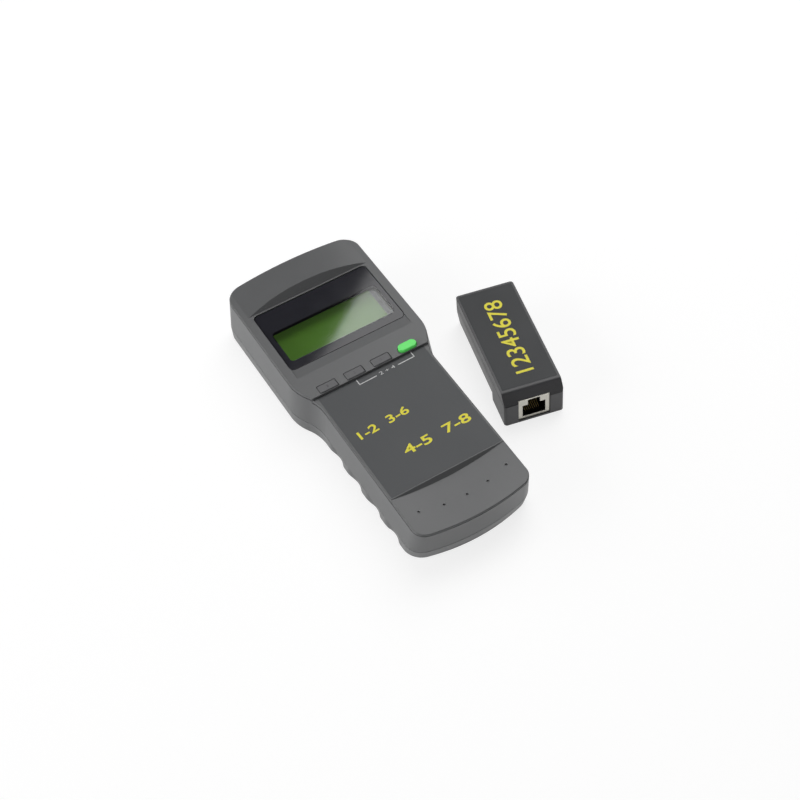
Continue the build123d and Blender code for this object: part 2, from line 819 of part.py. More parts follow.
def jack_contacts():
    """Eight spring wires, each run forward along the floor and bent back up."""
    low = mouth_floor + contact_lift + contact_t / 2
    bend = mouth_depth - contact_reach
    back, up = contact_bend
    foot = (mouth_depth - contact_back, low), (bend + back, low)
    path = Polyline(*foot, (bend, low + up), (bend + contact_run, low + contact_rise))
    wires = []
    for index in range(contact_count):
        x = (index - (contact_count - 1) / 2) * contact_pitch
        wire = Plane((x, 0, 0), x_dir=(0, 1, 0), z_dir=(1, 0, 0)) * trace(path, contact_t)
        wires.append(extrude(wire, amount=contact_t / 2, both=True))
    return wires


def head_jack(side):
    """Location of a jack in the tester's head, its face to the north."""
    return Pos(side * jack_spacing / 2, head_face_y, main_board_top) * Rot(Z=180)


# ---------------------------------------------------------------- electronics
def main_board():
    """Main board, narrow in the handle, wide in the head, narrow again between the case posts."""
    waist_y, wide_y, narrow_y, post_y = (head_end - gap for gap in main_board_steps)
    between_posts = case_posts[1][0] - post_r - main_board_gaps[2]
    right = [
        (main_board_half, partition_y + rib_t + main_board_bay_gap), (main_board_half, waist_y),
        (main_board_wide, wide_y), (main_board_wide, narrow_y),
        (between_posts, post_y), (between_posts, head_face_y - main_board_setback),
    ]
    left = [(-x, y) for x, y in reversed(right)]
    plan = make_face(Polyline(*right, *left, close=True))
    board = Pos(0, 0, main_board_z) * extrude(plan, amount=board_t)
    for x, y in main_posts:
        board -= prism(x, y, screw_r + clearance, (0, deck_z))
    return board


def board_screws():
    """Pan-head screws of both boards."""
    shank_r = screw_r - thread_gap
    screws = []
    for x, y in main_posts:
        head = prism(x, y, pan_r, (main_board_top, main_board_top + pan_t))
        screws.append(head + prism(x, y, shank_r, (wall - screw_overlap, main_board_top + screw_overlap)))
    for x, y in display_posts:
        head = prism(x, y, pan_r, (display_board_z - pan_t, display_board_z))
        shank = (display_board_z - screw_overlap, display_board_top + screw_grip)
        screws.append(head + prism(x, y, shank_r, shank))
    return screws


def case_screws():
    """Four self-tapping screws up from the rear."""
    shoulder = screw_sink + screw_head_t
    shank = (shoulder - head_overlap, screw_sink + screw_length)
    screws = []
    for x, y in case_posts:
        head = prism(x, y, screw_head_r, (screw_sink, shoulder), sides=16)
        head -= cross_slot(x, y, screw_sink, screw_head_r, slot_depth)
        screws.append(head + prism(x, y, screw_shank_r - thread_gap, shank))
    return screws


def board_chips():
    """Controller and the line-switching chips on the main board."""
    z = (main_board_top + chip_lift, main_board_top + chip_lift + chip_t)
    chips = [centred(controller_size, head_end - controller_from_head, controller_size, z)]
    wide, long = line_chip_size
    for x in (-line_chip_x, line_chip_x):
        for row in range(2):
            y = head_end - line_chip_from_head - row * line_chip_pitch
            chips.append(Pos(x, y) * centred(wide, 0, long, z))
    return chips


def crystal():
    """Clock crystal in its oval can."""
    z = (main_board_top, main_board_top + crystal_height)
    corner = crystal_roundness * crystal_size[1]
    return rounded_plate(crystal_size, corner, 0, head_end - crystal_from_head, z)


def capacitors():
    """Upright electrolytic cans by the power input."""
    z = (main_board_top, main_board_top + capacitor_height)
    return [prism(x, partition_y + capacitor_from_bay, capacitor_r, z, sides=16) for x in capacitor_row]


def buzzer():
    """Round sounder with its sound hole."""
    x, y = buzzer_place[0], head_end - buzzer_place[1]
    top = main_board_top + buzzer_height
    hole_r, hole_depth = buzzer_hole
    case = prism(x, y, buzzer_r, (main_board_top, top), sides=24)
    return case - prism(x, y, hole_r, (top - hole_depth, top + 1))


def board_header():
    """Pin header that joins the two boards."""
    z = (main_board_top, display_board_z)
    return centred(header_size[0], head_end - header_from_head, header_size[1], z)


# ---------------------------------------------------------------- battery
def battery():
    """Nine-volt block battery with cut long edges."""
    width, long, thick = battery_size
    can = centred(width, battery_y, long, (battery_z, battery_z + thick))
    return chamfer(can.edges().filter_by(Axis.Y), battery_edge)


def terminal_place(side):
    """Middle of a battery terminal, on the battery's upper end."""
    middle_z = battery_z + battery_size[2] / 2
    return Pos(side * stud_spacing / 2, battery_y + battery_half, middle_z) * Rot(X=-90)


def battery_terminals():
    """The two snap studs of the battery, one round and one larger and six-sided."""
    round_stud = Cylinder(stud_radii[0], stud_height, align=(Align.CENTER, Align.CENTER, Align.MIN))
    flat_stud = extrude(RegularPolygon(stud_radii[1], 6), amount=stud_height)
    return [terminal_place(-1) * round_stud, terminal_place(1) * flat_stud]


def battery_snap():
    """Snap connector pressed onto the studs, with its backing plate."""
    wide, thick, tall_side = snap_size
    y = battery_y + battery_half + snap_gap
    middle = battery_z + battery_size[2] / 2
    plate = block((-wide / 2, wide / 2), (y, y + thick), (middle - tall_side / 2, middle + tall_side / 2))
    plate = chamfer(plate.edges().filter_by(Axis.Y), snap_edge)
    return plate - battery_terminals()


def battery_leads():
    """Two insulated leads from the snap connector over the bay's end to the main board."""
    start = battery_y + battery_half + snap_gap + snap_size[1]
    turn_y = partition_y + lead_reach
    z = bay_height + lead_lift
    leads = []
    for x in (-lead_x, lead_x):
        path = FilletPolyline((x, start, z), (x, turn_y, z), (x, turn_y, main_board_top), radius=lead_bend)
        leads.append(sweep(Plane(path @ 0, z_dir=path % 0) * RegularPolygon(lead_r, 6), path=path))
    return leads


def battery_pad():
    """Foam pad at the bay's closed end."""
    return block((-pad_half, pad_half), (bay_end, bay_end + bay_gap), (battery_z + pad_lift, bay_height))


# ---------------------------------------------------------------- remote
def remote_plan(inset=0.0):
    """Plan of the remote, centred, long side along Y."""
    width, long = remote_size
    return RectangleRounded(width - 2 * inset, long - 2 * inset, remote_corner_r - inset)


def remote_tapers():
    """Cutters that draw the lower shell's sides and back end in towards the bottom, behind the jack."""
    width, long = remote_size
    tilt = degrees(atan2(remote_taper, remote_taper_z))
    start = -long / 2 + remote_taper_start
    cutters = []
    for side in (-1, 1):
        inner = side * (width / 2 - remote_taper - remote_taper_spare)
        outer = side * width
        plan = Polyline(
            (inner, start + remote_taper_blend), (side * width / 2, start), (outer, start),
            (outer, long), (inner, long), close=True,
        )
        cheek = Pos(0, 0, -1) * extrude(make_face(plan), amount=remote_taper_z + 2)
        align = (Align.MIN if side > 0 else Align.MAX, Align.CENTER, Align.MAX)
        wedge = Rot(Y=side * tilt) * Box(width, 2 * long, width, align=align)
        cutters.append(cheek & Pos(side * width / 2, 0, remote_taper_z) * wedge)
    back = Box(2 * long, width, width, align=(Align.CENTER, Align.MIN, Align.MAX))
    cutters.append(Pos(0, long / 2, remote_taper_z) * Rot(X=-tilt) * back)
    return cutters


def remote_form():
    """Solid outer form: a box whose top slopes down to the back, with a sloping brow over the jack."""
    front = -remote_size[1] / 2
    side = Polyline(
        (front, 0), (front, remote_parting), (front + remote_setback, remote_front_z),
        (-front, remote_back_z), (-front, 0), close=True,
    )
    form = extrude(Plane.YZ * make_face(side), amount=remote_size[0] / 2, both=True)
    form = fillet(form.edges().filter_by(Axis.Z), remote_corner_r)
    crest = form.edges().filter_by(Axis.X).sort_by(Axis.Z)[-1]
    return fillet(crest, remote_front_r)


def remote_label_space():
    """Space of the remote's printed label, which follows its sloping top."""
    width, long = remote_size
    half = width / 2 - remote_label_margin
    run = (-long / 2 + remote_setback + remote_front_r, long / 2 - remote_label_margin)
    form = remote_form()
    return block((-half, half), run, (0, 2 * remote_front_z)) & (form - Pos(0, 0, -label_t) * form)


def remote_cavity():
    """Hollow inside the remote, narrower in its lower half."""
    width, long = remote_size
    inner = remote_wall
    front = -long / 2
    back, down = remote_brow_wall
    side = Polyline(
        (front + inner, remote_floor), (front + inner, remote_parting - down),
        (front + remote_setback + back, remote_front_z - inner), (-front - inner, remote_back_z - inner),
        (-front - inner, remote_floor), close=True,
    )
    half = width / 2 - inner
    hollow = extrude(Plane.YZ * make_face(side), amount=half, both=True)
    upper = hollow & block((-width, width), (-long, long), (remote_taper_z, 2 * remote_front_z))
    neck = front + remote_taper_start - remote_neck
    narrow = half - remote_taper
    z = (remote_floor, remote_taper_z)
    lower = block((-half, half), (front + inner, neck), z)
    return upper + lower + block((-narrow, narrow), (neck - 1, -front - inner - remote_taper), z)


def remote_jack_opening():
    """Cut-out for the remote's jack, open to the front."""
    half = jack_width / 2 + jack_gap
    run = (-remote_size[1], remote_jack_y + jack_depth)
    return block((-half, half), run, (remote_floor, remote_board_z + jack_gap))


def remote_shell(upper):
    """One shell of the remote."""
    seat = remote_parting
    side = (seat, 2 * seat) if upper else (-1, seat)
    half = block((-remote_size[0], remote_size[0]), (-remote_size[1], remote_size[1]), side)
    shell = (remote_form() - remote_tapers() - remote_cavity()) & half
    post = (remote_floor - boss_sink, remote_back_z - remote_wall / 2)
    for x, y in remote_posts:
        shell += prism(x, y, remote_post_r, post) & half
        if upper:
            shell -= prism(x, y, screw_r, (seat - 1, remote_back_z - remote_head_floor))
        else:
            shell -= prism(x, y, screw_r + clearance, (-1, seat + 1))
            shell -= prism(x, y, remote_head_r, (-1, remote_head_floor), sides=12)
    shell -= remote_jack_opening()
    if upper:
        shell -= remote_label_space()
    return shell - seam_groove(seat, remote_plan(), remote_plan(seam))


def remote_screws():
    """Two self-tapping screws that close the remote."""
    foot = remote_head_floor - pan_t - remote_head_gap
    shank = (remote_head_floor - remote_head_overlap, remote_back_z - remote_head_floor - remote_tip_gap)
    screws = []
    for x, y in remote_posts:
        head = prism(x, y, pan_r, (foot, remote_head_floor), sides=12)
        head -= cross_slot(x, y, foot, pan_r, remote_slot_depth)
        screws.append(head + prism(x, y, screw_r - thread_gap, shank))
    return screws


def remote_board():
    """Board above the remote's jack."""
    width, long = remote_board_size
    start = -remote_size[1] / 2 + remote_setback + remote_board_gap
    return centred(width, start + long / 2, long, (remote_board_z, remote_board_z + board_t))


def remote_resistors():
    """Coding resistors under the board, one for each wire."""
    thick, long = resistor_size
    y = remote_jack_y + jack_depth + resistor_gap + long
    parts = []
    for index in range(contact_count):
        x = (index - (contact_count - 1) / 2) * resistor_pitch
        body = extrude(RegularPolygon(thick, 6), amount=long / 2, both=True)
        parts.append(Pos(x, y, remote_board_z - thick - resistor_lift) * Rot(X=90) * body)
    return parts


# ---------------------------------------------------------------- the pieces
def assembly():
    """Every piece of the object by name."""
    pieces = {
        "front_shell": front_shell(),
        "rear_shell": rear_shell(),
        "battery_door": battery_door(),
        "panel_overlay": panel_space(),
        "display_window": display_window(),
        "window_gasket": window_gasket(),
        "lcd_bezel": lcd_bezel(),
        "lcd_glass": lcd_glass(),
        "light_guide": light_guide(),
        "zebra_strips": zebra_strips(),
        "display_board": display_board(),
        "switch_bases": switch_bases(),
        "main_board": main_board(),
        "board_screws": board_screws(),
        "case_screws": case_screws(),
        "board_chips": board_chips(),
        "crystal": crystal(),
        "capacitors": capacitors(),
        "buzzer": buzzer(),
        "board_header": board_header(),
        "battery": battery(),
        "battery_terminals": battery_terminals(),
        "battery_snap": battery_snap(),
        "battery_leads": battery_leads(),
        "battery_pad": battery_pad(),
    }
    for index, name in enumerate(("left_key", "second_key", "third_key", "power_key")):
        pieces[name] = key_cap(index)
        pieces[name + "_plunger"] = plunger(index)
    for side, name in ((-1, "main_jack"), (1, "loop_jack")):
        pieces[name + "_housing"] = head_jack(side) * jack_housing()
        pieces[name + "_can"] = head_jack(side) * jack_can()
        pieces[name + "_contacts"] = [head_jack(side) * wire for wire in jack_contacts()]
    remote = {
        "remote_upper_shell": remote_shell(True),
        "remote_lower_shell": remote_shell(False),
        "remote_label": remote_label_space(),
        "remote_board": remote_board(),
        "remote_resistors": remote_resistors(),
        "remote_screws": remote_screws(),
    }
    jack_at = Pos(0, remote_jack_y, remote_floor)
    remote["remote_jack_housing"] = jack_at * jack_housing()
    remote["remote_jack_can"] = jack_at * jack_can()
    remote["remote_jack_contacts"] = [jack_at * wire for wire in jack_contacts()]
    place = Pos(*remote_place) * Rot(Z=remote_turn)
    for name, piece in remote.items():
        pieces[name] = [place * one for one in piece] if isinstance(piece, list) else place * piece
    return pieces


os.makedirs("parts", exist_ok=True)
for name, piece in assembly().items():
    shape = Compound(children=[one for one in piece]) if isinstance(piece, list) else piece
    export_step(shape, f"parts/{name}.step")
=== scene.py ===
"""Looks of a network cable tester and its loose remote: finishes, printed marks, studio and camera."""
import logging
from dataclasses import dataclass, field
from enum import Enum
from math import atan, cos, pi, radians, sin
from typing import Sequence, Union

import bpy
import numpy as np
from mathutils import Matrix, Vector

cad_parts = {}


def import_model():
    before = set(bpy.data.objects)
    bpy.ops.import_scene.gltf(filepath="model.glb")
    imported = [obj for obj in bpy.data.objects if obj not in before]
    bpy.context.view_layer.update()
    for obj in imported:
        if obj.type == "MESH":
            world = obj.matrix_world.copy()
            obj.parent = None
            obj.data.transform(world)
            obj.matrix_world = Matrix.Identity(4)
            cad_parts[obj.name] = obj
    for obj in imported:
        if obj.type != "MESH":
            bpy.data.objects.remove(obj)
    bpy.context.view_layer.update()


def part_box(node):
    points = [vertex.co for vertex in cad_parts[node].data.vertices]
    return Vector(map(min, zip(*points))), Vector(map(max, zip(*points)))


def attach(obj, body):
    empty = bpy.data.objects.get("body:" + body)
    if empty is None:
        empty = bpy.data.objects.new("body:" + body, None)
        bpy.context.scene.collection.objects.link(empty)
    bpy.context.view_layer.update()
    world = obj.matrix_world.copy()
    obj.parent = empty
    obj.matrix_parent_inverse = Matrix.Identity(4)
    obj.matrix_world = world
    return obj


LOG = logging.getLogger("cable_tester")
MM = 0.001
Colour = tuple[int, int, int]


class Role(Enum):
    """What a studio lamp is for."""

    SOFTBOX = "softbox"
    SIDE = "side"
    BACK = "back"
    FRONT = "front"


def linear(colour: Colour) -> tuple[float, float, float, float]:
    """Turn an eight-bit display colour into a linear one.

    Args:
        colour: Red, green and blue from 0 to 255.

    Returns:
        Linear red, green, blue and an alpha of 1.
    """
    shares = np.asarray(colour) / 255.0
    bright = ((shares + 0.055) / 1.055) ** 2.4
    red, green, blue = np.where(shares <= 0.04045, shares / 12.92, bright)
    return float(red), float(green), float(blue), 1.0


# ---------------------------------------------------------------- shader maths
class Wire:
    """One output socket of a shader node, which takes part in sums as a number would."""

    def __init__(self, shader: "Shader", socket: bpy.types.NodeSocket) -> None:
        """Remember the shader and the socket."""
        self.shader = shader
        self.socket = socket

    def _maths(self, operation: str, *values: "Value") -> "Wire":
        """Add a Math node for one operation on the given values."""
        inputs = dict(enumerate(values))
        return self.shader.node("ShaderNodeMath", {"operation": operation}, inputs)

    def __add__(self, other: "Value") -> "Wire":
        """Sum of the two."""
        return self._maths("ADD", self, other)

    __radd__ = __add__

    def __sub__(self, other: "Value") -> "Wire":
        """This less the other."""
        return self._maths("SUBTRACT", self, other)

    def __rsub__(self, other: "Value") -> "Wire":
        """The other less this."""
        return self._maths("SUBTRACT", other, self)

    def __mul__(self, other: "Value") -> "Wire":
        """Product of the two."""
        return self._maths("MULTIPLY", self, other)

    __rmul__ = __mul__

    def __truediv__(self, other: "Value") -> "Wire":
        """This over the other."""
        return self._maths("DIVIDE", self, other)

    def __abs__(self) -> "Wire":
        """Size without the sign."""
        return self._maths("ABSOLUTE", self)

    def __pow__(self, other: "Value") -> "Wire":
        """This raised to the other."""
        return self._maths("POWER", self, other)

    def __mod__(self, other: "Value") -> "Wire":
        """Remainder that is never negative."""
        return self._maths("FLOORED_MODULO", self, other)

    def at_least(self, other: "Value") -> "Wire":
        """The larger of the two."""
        return self._maths("MAXIMUM", self, other)

    def at_most(self, other: "Value") -> "Wire":
        """The smaller of the two."""
        return self._maths("MINIMUM", self, other)

    def clamped(self) -> "Wire":
        """Value held between 0 and 1."""
        return self.at_least(0.0).at_most(1.0)


Value = Union[float, Wire]


class Shader:
    """A node material while it is being built."""

    def __init__(self, name: str) -> None:
        """Start an empty material with its output node."""
        self.material = bpy.data.materials.new(name)
        self.material.use_nodes = True
        self.tree = self.material.node_tree
        self.tree.nodes.clear()
        self.output = self.tree.nodes.new("ShaderNodeOutputMaterial")

    def node(self, kind: str, settings: dict | None = None, inputs: dict | None = None,
             output: int | str = 0) -> Wire:
        """Add a node.

        Args:
            kind: Type name of the node.
            settings: Values of the node's own properties, set first.
            inputs: Values or links of its sockets, by name or index.
            output: Name or index of the output that is returned.

        Returns:
            The chosen output.
        """
        made = self.tree.nodes.new(kind)
        for key, value in (settings or {}).items():
            setattr(made, key, value)
        for key, value in (inputs or {}).items():
            if isinstance(value, Wire):
                self.tree.links.new(value.socket, made.inputs[key])
            else:
                made.inputs[key].default_value = value
        return Wire(self, made.outputs[output])

    def place(self) -> Wire:
        """Position on the piece, in metres."""
        return self.node("ShaderNodeTexCoord", output="Object")

    def axes(self) -> tuple[Wire, Wire, Wire]:
        """The three coordinates of the position on the piece."""
        split = self.node("ShaderNodeSeparateXYZ", inputs={0: self.place()})
        outputs = split.socket.node.outputs
        return Wire(self, outputs[0]), Wire(self, outputs[1]), Wire(self, outputs[2])

    def noise(self, size: float, detail: float = 3.0, stretch: Sequence[float] = (1, 1, 1)) -> Wire:
        """Cloudy noise whose features have a given size in metres."""
        scaled = self.node("ShaderNodeMapping", inputs={"Vector": self.place(), "Scale": tuple(stretch)})
        inputs = {"Vector": scaled, "Scale": 1.0 / size, "Detail": detail}
        return self.node("ShaderNodeTexNoise", inputs=inputs)

    def cells(self, size: float) -> Wire:
        """Distance to the nearest of many scattered points about size metres apart."""
        return self.node("ShaderNodeTexVoronoi", inputs={"Vector": self.place(), "Scale": 1.0 / size})

    def blend(self, factor: Value, first: Union[Wire, tuple], second: Union[Wire, tuple]) -> Wire:
        """Colour between two colours."""
        inputs = {0: factor, 6: first, 7: second}
        return self.node("ShaderNodeMix", {"data_type": "RGBA"}, inputs, output=2)

    def shaded(self, colour: Union[Wire, tuple], amount: Value) -> Wire:
        """Colour times a grey amount."""
        grey = self.node("ShaderNodeCombineColor", inputs={0: amount, 1: amount, 2: amount})
        settings = {"data_type": "RGBA", "blend_type": "MULTIPLY"}
        return self.node("ShaderNodeMix", settings, {0: 1.0, 6: colour, 7: grey}, output=2)

    def relief(self, height: Wire, depth: float, edge: float = 0.0) -> Wire:
        """Normal of a surface with a fine relief of a given depth and softened edges."""
        inputs = {"Height": height, "Distance": depth, "Strength": 1.0}
        if edge:
            inputs["Normal"] = self.node("ShaderNodeBevel", {"samples": 6}, {"Radius": edge})
        return self.node("ShaderNodeBump", inputs=inputs)

    def surface(self, **inputs: object) -> Wire:
        """Principled shader; underscores in the names stand for spaces."""
        sockets = {name.replace("_", " "): value for name, value in inputs.items()}
        return self.node("ShaderNodeBsdfPrincipled", inputs=sockets)

    def done(self, surface: Wire) -> bpy.types.Material:
        """Join the surface to the output.

        Args:
            surface: The finished shader.

        Returns:
            The material.
        """
        self.tree.links.new(surface.socket, self.output.inputs["Surface"])
        return self.material


# ---------------------------------------------------------------- finishes
@dataclass(frozen=True)
class MouldedPlastic:
    """Moulded plastic with a fine spark-eroded grain and faint flow marks.

    Glow is the share of light that spreads under its surface; the emission is a painted glow, light that it
    gives off itself though it is no lamp.
    """

    name: str
    colour: Colour
    roughness: float = 0.5
    grain: float = 0.35 * MM
    relief: float = 0.02 * MM
    edge: float = 0.35 * MM
    mottle: float = 0.07
    glow: float = 0.0
    lit: float = 0.0

    def material(self) -> bpy.types.Material:
        """Base colour times a slow mottle, roughness and relief from the grain."""
        shader = Shader(self.name)
        grain = shader.noise(self.grain, 4.0)
        clouds = shader.noise(14 * MM, 3.0)
        amount = 1.0 + self.mottle * (clouds - 0.5) + 0.10 * (grain - 0.5)
        return shader.done(shader.surface(
            Base_Color=shader.shaded(linear(self.colour), amount),
            Roughness=self.roughness + 0.12 * (grain - 0.5) + 0.08 * (clouds - 0.5),
            Normal=shader.relief(grain, self.relief, self.edge),
            Subsurface_Weight=self.glow,
            Subsurface_Radius=(0.6, 1.0, 0.6),
            Subsurface_Scale=1.5 * MM,
            # painted glow: emission in the plastic's own colour brightens it though it is no lamp
            Emission_Color=linear(self.colour),
            Emission_Strength=self.lit,
        ))


@dataclass(frozen=True)
class PrintedFilm:
    """Thin printed film with a fine velvet texture."""

    name: str
    colour: Colour
    roughness: float = 0.55
    fleck: float = 0.22 * MM

    def material(self) -> bpy.types.Material:
        """Nearly even colour; the relief is a field of tiny domes."""
        shader = Shader(self.name)
        domes = shader.cells(self.fleck)
        haze = shader.noise(22 * MM, 2.0)
        return shader.done(shader.surface(
            Base_Color=shader.shaded(linear(self.colour), 0.94 + 0.12 * haze + 0.05 * domes),
            Roughness=self.roughness + 0.1 * (haze - 0.5),
            Normal=shader.relief(1.0 - domes, 0.012 * MM, 0.1 * MM),
        ))


@dataclass(frozen=True)
class Ink:
    """Screen-printed ink, a little uneven."""

    name: str
    colour: Colour
    roughness: float = 0.45

    def material(self) -> bpy.types.Material:
        """Colour times a fine screen unevenness."""
        shader = Shader(self.name)
        screen = shader.noise(0.25 * MM, 2.0)
        return shader.done(shader.surface(
            Base_Color=shader.shaded(linear(self.colour), 0.92 + 0.16 * screen),
            Roughness=self.roughness + 0.1 * screen,
            Normal=shader.relief(screen, 0.01 * MM),
        ))


@dataclass(frozen=True)
class Metal:
    """Plated or brushed metal."""

    name: str
    colour: Colour
    roughness: float = 0.3
    brush: tuple[float, float, float] = (1, 1, 1)
    metallic: float = 1.0

    def material(self) -> bpy.types.Material:
        """Drawn noise varies the colour, the roughness and a shallow relief."""
        shader = Shader(self.name)
        drawn = shader.noise(0.3 * MM, 4.0, self.brush)
        stain = shader.noise(5 * MM, 3.0)
        return shader.done(shader.surface(
            Base_Color=shader.shaded(linear(self.colour), 0.9 + 0.12 * drawn + 0.08 * stain),
            Metallic=self.metallic,
            Roughness=self.roughness + 0.12 * (drawn - 0.5) + 0.1 * (stain - 0.5),
            Normal=shader.relief(drawn, 0.006 * MM, 0.08 * MM),
        ))


@dataclass(frozen=True)
class WindowPane:
    """Clear pane with a dark border printed under it, open over a rounded rectangle.

    Share is the part of the light that each of its two faces throws back when seen straight on.
    """

    name: str
    centre: tuple[float, float]
    half: tuple[float, float]
    corner: float
    border: Colour = (43, 43, 49)
    blur: float = 0.25 * MM
    gloss: float = 0.05
    share: float = 0.062

    def material(self) -> bpy.types.Material:
        """Distance to a rounded rectangle picks clear pane inside and print outside."""
        shader = Shader(self.name)
        x, y, _ = shader.axes()
        over_x = (abs(x - self.centre[0]) - (self.half[0] - self.corner)).at_least(0.0)
        over_y = (abs(y - self.centre[1]) - (self.half[1] - self.corner)).at_least(0.0)
        outside = (over_x**2.0 + over_y**2.0) ** 0.5 - self.corner
        printed = (outside / self.blur + 0.5).clamped()
        haze = shader.noise(9 * MM, 2.0)
        edge = shader.node("ShaderNodeBevel", {"samples": 6}, {"Radius": 0.2 * MM})
        slant = shader.node("ShaderNodeLayerWeight", inputs={"Blend": 0.5, "Normal": edge}, output="Facing")
        mirror = self.share + (1.0 - self.share) * slant**5.0
        sheen = shader.node("ShaderNodeBsdfGlossy", inputs={"Roughness": self.gloss, "Normal": edge})
        through = shader.node("ShaderNodeBsdfTransparent", inputs={"Color": (0.93, 0.95, 0.95, 1)})
        clear = shader.node("ShaderNodeMixShader", inputs={0: mirror, 1: through, 2: sheen})
        print_ = shader.surface(
            Base_Color=shader.shaded(linear(self.border), 0.9 + 0.2 * haze),
            Roughness=self.gloss + 0.04 * haze,
            Normal=edge,
        )
        return shader.done(shader.node("ShaderNodeMixShader", inputs={0: printed, 1: clear, 2: print_}))


@dataclass(frozen=True)
class DisplayGlass:
    """Face of the liquid-crystal display, with a painted glow against the shade of its deep well, and the
    faint lattice of its unlit cells.
    """

    name: str
    colour: Colour = (88, 128, 46)
    cell: tuple[float, float] = (3.3 * MM, 4.6 * MM)
    dot: float = 0.55 * MM
    lattice: float = 0.05
    lit: float = 0.2

    def material(self) -> bpy.types.Material:
        """Two combs of lines make the dots, a wider pair makes the character cells."""
        shader = Shader(self.name)
        x, y, _ = shader.axes()
        dots = ((x % self.dot) / self.dot - 0.12).clamped() * ((y % self.dot) / self.dot - 0.12).clamped()
        across = (abs((x % self.cell[0]) / self.cell[0] - 0.5) * 16.0 - 7.0).clamped()
        along = (abs((y % self.cell[1]) / self.cell[1] - 0.5) * 16.0 - 7.0).clamped()
        cells = 1.0 - across.at_least(along)
        haze = shader.noise(16 * MM, 2.0)
        amount = 1.0 + 0.22 * (haze - 0.5) - self.lattice * cells * dots
        return shader.done(shader.surface(
            Base_Color=shader.shaded(linear(self.colour), amount),
            Roughness=0.06 + 0.04 * haze,
            Specular_IOR_Level=0.1,
            # painted glow: emission in the display's own colour fills the shade of its well
            Emission_Color=linear(self.colour),
            Emission_Strength=self.lit,
        ))


@dataclass(frozen=True)
class CircuitBoard:
    """Solder mask over copper tracks, with plated holes on a regular pitch."""

    name: str
    mask: Colour = (24, 84, 52)
    track: Colour = (52, 128, 78)
    pad: Colour = (206, 196, 160)
    pitch: float = 2.54 * MM

    def material(self) -> bpy.types.Material:
        """Thin contour bands of a slow noise are tracks; round spots on a grid are pads."""
        shader = Shader(self.name)
        x, y, _ = shader.axes()
        field_ = shader.noise(9 * MM, 0.0, (1.0, 1.0, 0.0))
        tracks = (1.0 - abs((field_ * 14.0) % 1.0 - 0.5) * 8.0).clamped()
        off_x = (x % self.pitch) / self.pitch - 0.5
        off_y = (y % self.pitch) / self.pitch - 0.5
        chosen = ((shader.noise(6 * MM, 0.0, (1.0, 1.0, 0.0)) - 0.55) * 30.0).clamped()
        pads = ((0.07 - (off_x**2.0 + off_y**2.0)) * 60.0).clamped() * chosen
        copper = shader.blend(tracks, linear(self.mask), linear(self.track))
        return shader.done(shader.surface(
            Base_Color=shader.blend(pads, copper, linear(self.pad)),
            Roughness=0.32 + 0.1 * tracks,
            Metallic=pads * 0.8,
            Normal=shader.relief(tracks.at_least(pads), 0.03 * MM),
        ))


@dataclass(frozen=True)
class Banded:
    """Two colours that meet at a line across one axis, as on a battery's wrap or a pair of leads."""

    name: str
    low: Colour
    high: Colour
    line: float
    axis: int = 1
    roughness: float = 0.35
    metallic: float = 0.0

    def material(self) -> bpy.types.Material:
        """Colour by the side of the line, with fine scuffs."""
        shader = Shader(self.name)
        side = ((shader.axes()[self.axis] - self.line) * 2e5 + 0.5).clamped()
        scuffs = shader.noise(1.2 * MM, 5.0, (1.0, 0.2, 1.0))
        colour = shader.blend(side, linear(self.low), linear(self.high))
        return shader.done(shader.surface(
            Base_Color=shader.shaded(colour, 0.88 + 0.24 * scuffs),
            Roughness=self.roughness + 0.15 * (scuffs - 0.5),
            Metallic=self.metallic,
            Normal=shader.relief(scuffs, 0.01 * MM, 0.2 * MM),
        ))


@dataclass(frozen=True)
class Foam:
    """Open-cell foam."""

    name: str
    colour: Colour

    def material(self) -> bpy.types.Material:
        """Small pits from a cell pattern, with painted shade that darkens each pit towards its bottom."""
        shader = Shader(self.name)
        pits_and_shade = shader.cells(0.5 * MM)
        return shader.done(shader.surface(
            # painted shade: the colour falls to half at the bottom of each pit
            Base_Color=shader.shaded(linear(self.colour), 0.5 + 0.9 * pits_and_shade),
            Roughness=0.85 + 0.1 * pits_and_shade,
            Normal=shader.relief(pits_and_shade, 0.15 * MM),
        ))


# ---------------------------------------------------------------- mesh helpers
def grid_piece(name: str, points: np.ndarray) -> bpy.types.Object:
    """Surface through a grid of points.

    Each point of the grid is joined to its neighbours along both directions by four-sided faces,
    whose corners run anticlockwise as the first index turns towards the second.

    Args:
        name: Name of the piece.
        points: Array of rows by columns by three coordinates, in metres.

    Returns:
        The new object, linked to the scene.
    """
    rows, columns = points.shape[:2]
    index = np.arange(rows * columns).reshape(rows, columns)
    quads = np.stack([index[:-1, :-1], index[1:, :-1], index[1:, 1:], index[:-1, 1:]], axis=-1)
    mesh = bpy.data.meshes.new(name)
    mesh.from_pydata(points.reshape(-1, 3).tolist(), [], quads.reshape(-1, 4).tolist())
    piece = bpy.data.objects.new(name, mesh)
    bpy.context.scene.collection.objects.link(piece)
    return piece


def flat_grid(place: Matrix, width: float, depth: float, steps: int = 2) -> np.ndarray:
    """Points of a flat rectangle: two even combs, centred, carried to a place.

    Args:
        place: Where the rectangle's centre goes and how it is turned.
        width: Size along its own X.
        depth: Size along its own Y.
        steps: Points along each side.

    Returns:
        Array of steps by steps by three coordinates.
    """
    along = np.linspace(-0.5, 0.5, steps)
    x, y = np.meshgrid(along * width, along * depth, indexing="ij")
    local = np.stack([x, y, np.zeros_like(x), np.ones_like(x)], axis=-1)
    return local @ np.array(place).T[:, :3]


def dress(node: str, finish: bpy.types.Material) -> None:
    """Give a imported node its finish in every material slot."""
    piece = bpy.data.objects[node]
    for slot in piece.material_slots:
        slot.material = finish
    LOG.info("dressed %s with %s", node, finish.name)


